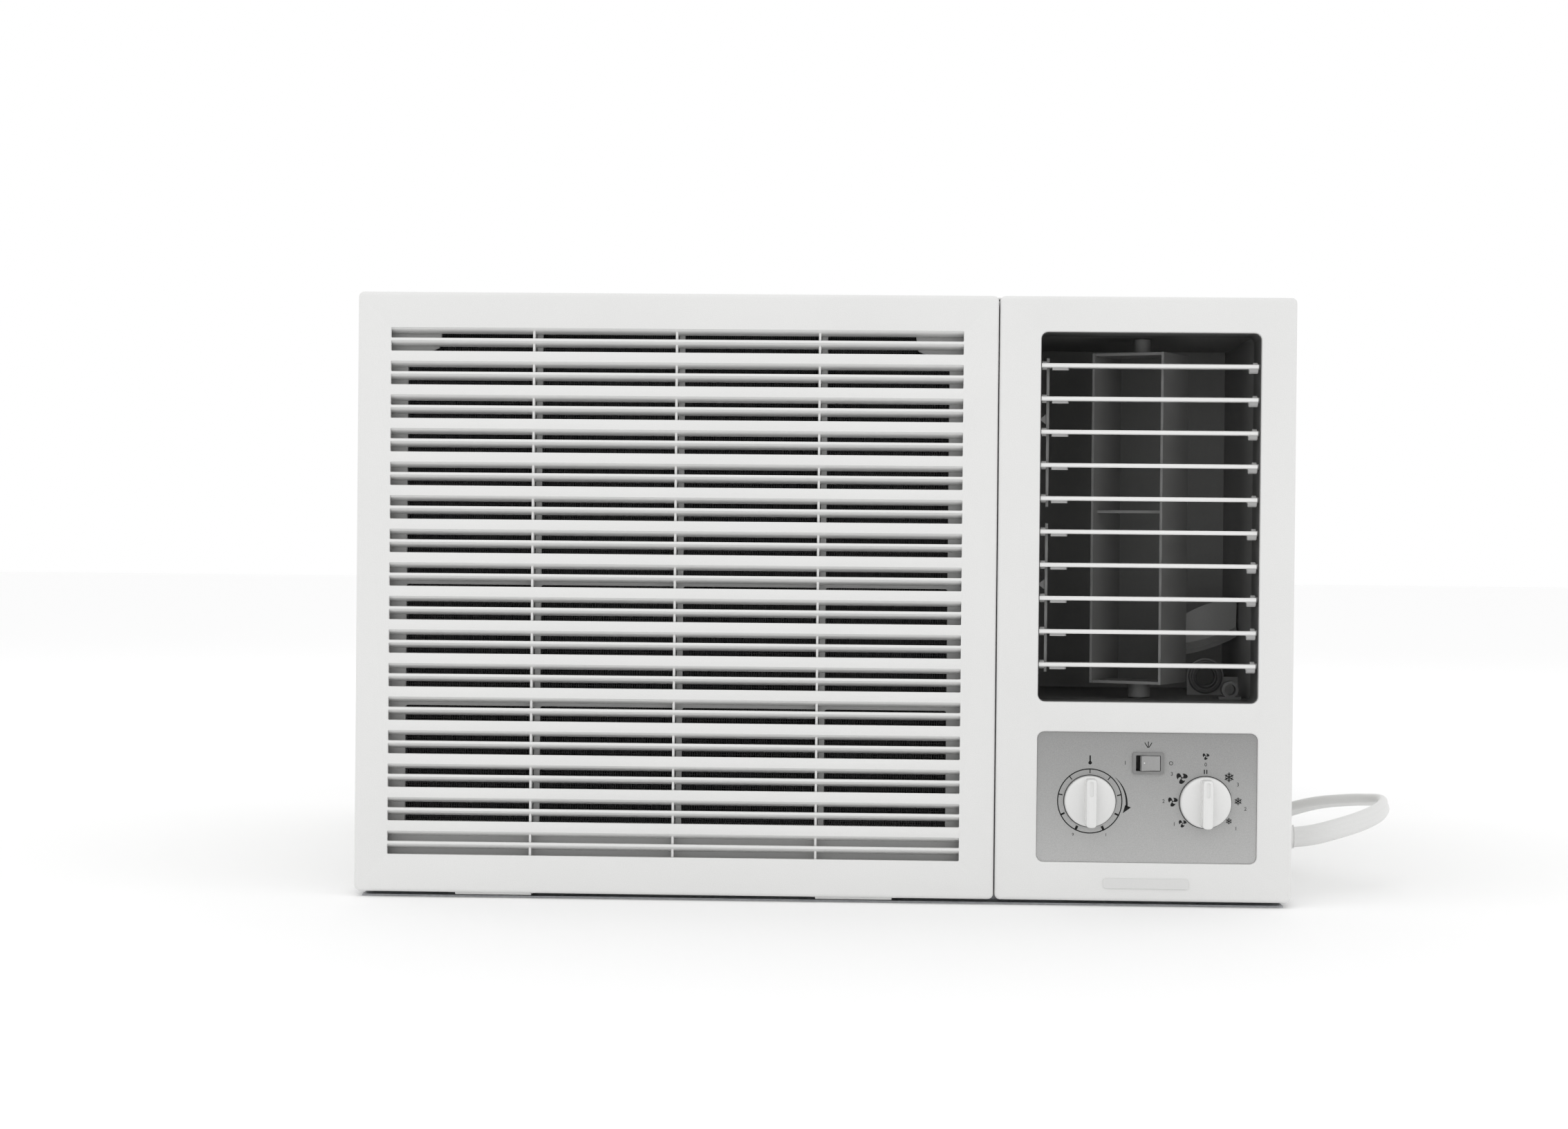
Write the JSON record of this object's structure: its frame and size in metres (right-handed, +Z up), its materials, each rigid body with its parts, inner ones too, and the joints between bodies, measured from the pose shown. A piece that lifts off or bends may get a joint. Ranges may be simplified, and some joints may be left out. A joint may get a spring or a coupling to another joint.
{
  "type": "window air conditioner",
  "caption": "Window air conditioner with a drop-down slatted intake panel, lift-out filter, linked outlet louvers, swing vanes, knobs, blower, coils and compressor.",
  "frame": {"origin": "middle of the footprint of the unit without its cord, on the surface it stands on", "axes": "+X to the right seen from the front, +Y from the front face to the back, +Z up"},
  "size_m": [0.7527, 0.8953, 0.428],
  "materials": {
    "white_abs": "fine satin texture, moulded white plastic",
    "blade_white": "satin white plastic",
    "knob_white": "smooth white plastic",
    "silver_plate": "silver-grey printed plate, satin",
    "grey_badge": "plain light grey bar",
    "filter_grey": "light grey moulded frame",
    "filter_net": "fine black woven net",
    "painted_steel": "white powder coat, light orange peel",
    "galvanised": "zinc coated sheet steel",
    "screw_steel": "zinc plated steel",
    "tray_grey": "light grey plastic",
    "fin_aluminium": "thin aluminium fins",
    "copper": "drawn copper tube",
    "duct_black": "dark moulded duct",
    "black_rubber": "black rubber",
    "motor_paint": "grey painted steel",
    "fan_plastic": "dark glass-filled plastic",
    "black_paint": "black enamel",
    "switch_body": "phenolic body",
    "switch_grey": "mid grey plastic",
    "vane_grey": "grey plastic",
    "link_grey": "grey plastic",
    "cord_pvc": "light grey flexible PVC",
    "pin_brass": "bright brass"
  },
  "bodies": {
    "case": {"front_fascia": "white_abs", "control_plate": "silver_plate", "nameplate": "grey_badge", "cabinet_shell": "painted_steel", "base_pan": "galvanised", "rear_guard": "painted_steel", "cabinet_screws": "screw_steel", "drain_tray": "tray_grey", "evaporator_coil": "fin_aluminium", "evaporator_bends": "copper", "blower_housing": "tray_grey", "air_duct": "duct_black", "duct_grommet": "black_rubber", "wire_clip": "tray_grey", "bulkhead": "galvanised", "fan_motor": "motor_paint", "motor_bracket": "galvanised", "condenser_shroud": "galvanised", "condenser_coil": "fin_aluminium", "condenser_bends": "copper", "compressor": "black_paint", "accumulator": "black_paint", "compressor_grommets": "black_rubber", "compressor_bolts": "screw_steel", "refrigerant_tubes": "copper", "control_box": "galvanised", "thermostat": "switch_body", "selector_switch": "switch_body", "swing_switch": "switch_grey", "run_capacitor": "fin_aluminium", "swing_motor": "motor_paint", "strain_relief": "cord_pvc", "power_cord": "cord_pvc", "cord_coil": "cord_pvc", "power_plug": "cord_pvc", "plug_pins": "pin_brass"},
    "panel": {"intake_panel": "white_abs"},
    "filter": {"filter_frame": "filter_grey", "filter_mesh": "filter_net"},
    "rotor": {"motor_shaft": "screw_steel", "blower_wheel": "fan_plastic", "condenser_fan": "fan_plastic"},
    "swing_vanes": {"swing_frame": "vane_grey"},
    "crank": {"swing_crank": "knob_white"},
    "rod": {"swing_rod": "knob_white"},
    "thermostat_dial": {"thermostat_knob": "knob_white"},
    "selector_dial": {"selector_knob": "knob_white"},
    "rocker": {"swing_rocker": "switch_grey"},
    "upper_link": {"link_bar_upper": "link_grey"},
    "lower_link": {"link_bar_lower": "link_grey"},
    "blade_1": {"louver_blade_1": "blade_white"},
    "blade_2": {"louver_blade_2": "blade_white"},
    "blade_3": {"louver_blade_3": "blade_white"},
    "blade_4": {"louver_blade_4": "blade_white"},
    "blade_5": {"louver_blade_5": "blade_white"},
    "blade_6": {"louver_blade_6": "blade_white"},
    "blade_7": {"louver_blade_7": "blade_white"},
    "blade_8": {"louver_blade_8": "blade_white"},
    "blade_9": {"louver_blade_9": "blade_white"},
    "blade_10": {"louver_blade_10": "blade_white"}
  },
  "joints": [
    {"name": "panel_open", "type": "hinge", "parent": "case", "child": "panel", "pos_m": [0, -0.3355, 0.005], "axis": [1, 0, 0], "range_deg": [0, 70]},
    {"name": "filter_lift", "type": "slide", "parent": "panel", "child": "filter", "axis": [0, 0, 1], "range_m": [0, 0.39]},
    {"name": "blade_1_tilt", "type": "hinge", "parent": "case", "child": "blade_1", "pos_m": [0.2285, -0.333, 0.3796], "axis": [1, 0, 0], "range_deg": [-30, 30]},
    {"name": "blade_2_tilt", "type": "hinge", "parent": "case", "child": "blade_2", "pos_m": [0.2285, -0.333, 0.35626], "axis": [1, 0, 0], "range_deg": [-30, 30]},
    {"name": "blade_3_tilt", "type": "hinge", "parent": "case", "child": "blade_3", "pos_m": [0.2285, -0.333, 0.33291], "axis": [1, 0, 0], "range_deg": [-30, 30]},
    {"name": "blade_4_tilt", "type": "hinge", "parent": "case", "child": "blade_4", "pos_m": [0.2285, -0.333, 0.30957], "axis": [1, 0, 0], "range_deg": [-30, 30]},
    {"name": "blade_5_tilt", "type": "hinge", "parent": "case", "child": "blade_5", "pos_m": [0.2285, -0.333, 0.28622], "axis": [1, 0, 0], "range_deg": [-30, 30]},
    {"name": "blade_6_tilt", "type": "hinge", "parent": "case", "child": "blade_6", "pos_m": [0.2285, -0.333, 0.26288], "axis": [1, 0, 0], "range_deg": [-30, 30]},
    {"name": "blade_7_tilt", "type": "hinge", "parent": "case", "child": "blade_7", "pos_m": [0.2285, -0.333, 0.23953], "axis": [1, 0, 0], "range_deg": [-30, 30]},
    {"name": "blade_8_tilt", "type": "hinge", "parent": "case", "child": "blade_8", "pos_m": [0.2285, -0.333, 0.21619], "axis": [1, 0, 0], "range_deg": [-30, 30]},
    {"name": "blade_9_tilt", "type": "hinge", "parent": "case", "child": "blade_9", "pos_m": [0.2285, -0.333, 0.19284], "axis": [1, 0, 0], "range_deg": [-30, 30]},
    {"name": "blade_10_tilt", "type": "hinge", "parent": "case", "child": "blade_10", "pos_m": [0.2285, -0.333, 0.1695], "axis": [1, 0, 0], "range_deg": [-30, 30]},
    {"name": "upper_link_pivot", "type": "hinge", "parent": "blade_1", "child": "upper_link", "pos_m": [0.1575, -0.321, 0.3796], "axis": [1, 0, 0], "range_deg": [-30, 30]},
    {"name": "lower_link_pivot", "type": "hinge", "parent": "blade_6", "child": "lower_link", "pos_m": [0.1575, -0.321, 0.26288], "axis": [1, 0, 0], "range_deg": [-30, 30]},
    {"name": "swing", "type": "hinge", "parent": "case", "child": "swing_vanes", "pos_m": [0.2285, -0.2715, 0.27325], "axis": [0, 0, 1], "range_deg": [0, 50]},
    {"name": "crank_spin", "type": "hinge", "parent": "case", "child": "crank", "pos_m": [0.1835, -0.25337, 0.1335], "axis": [0, 0, 1], "continuous": true},
    {"name": "rod_pivot", "type": "hinge", "parent": "crank", "child": "rod", "pos_m": [0.19195, -0.25337, 0.13525], "axis": [0, 0, 1], "continuous": true},
    {"name": "thermostat_turn", "type": "hinge", "parent": "case", "child": "thermostat_dial", "pos_m": [0.1887, -0.3415, 0.074], "axis": [0, 1, 0], "range_deg": [-154, 154]},
    {"name": "selector_turn", "type": "hinge", "parent": "case", "child": "selector_dial", "pos_m": [0.2695, -0.3415, 0.074], "axis": [0, 1, 0], "range_deg": [-132, 132]},
    {"name": "rocker_press", "type": "hinge", "parent": "case", "child": "rocker", "pos_m": [0.2293, -0.3349, 0.101], "axis": [0, 0, 1], "range_deg": [-24, 0]},
    {"name": "rotor_spin", "type": "hinge", "parent": "case", "child": "rotor", "pos_m": [-0.10415, -0.127, 0.218], "axis": [0, 1, 0], "continuous": true}
  ],
  "couplings": [
    {"joint": "blade_2_tilt", "follows": "blade_1_tilt", "ratio": 1},
    {"joint": "blade_3_tilt", "follows": "blade_1_tilt", "ratio": 1},
    {"joint": "blade_4_tilt", "follows": "blade_1_tilt", "ratio": 1},
    {"joint": "blade_5_tilt", "follows": "blade_1_tilt", "ratio": 1},
    {"joint": "blade_7_tilt", "follows": "blade_6_tilt", "ratio": 1},
    {"joint": "blade_8_tilt", "follows": "blade_6_tilt", "ratio": 1},
    {"joint": "blade_9_tilt", "follows": "blade_6_tilt", "ratio": 1},
    {"joint": "blade_10_tilt", "follows": "blade_6_tilt", "ratio": 1},
    {"joint": "upper_link_pivot", "follows": "blade_1_tilt", "ratio": -1},
    {"joint": "lower_link_pivot", "follows": "blade_6_tilt", "ratio": -1},
    {"joint": "rod_pivot", "follows": "crank_spin", "ratio": -1}
  ]
}
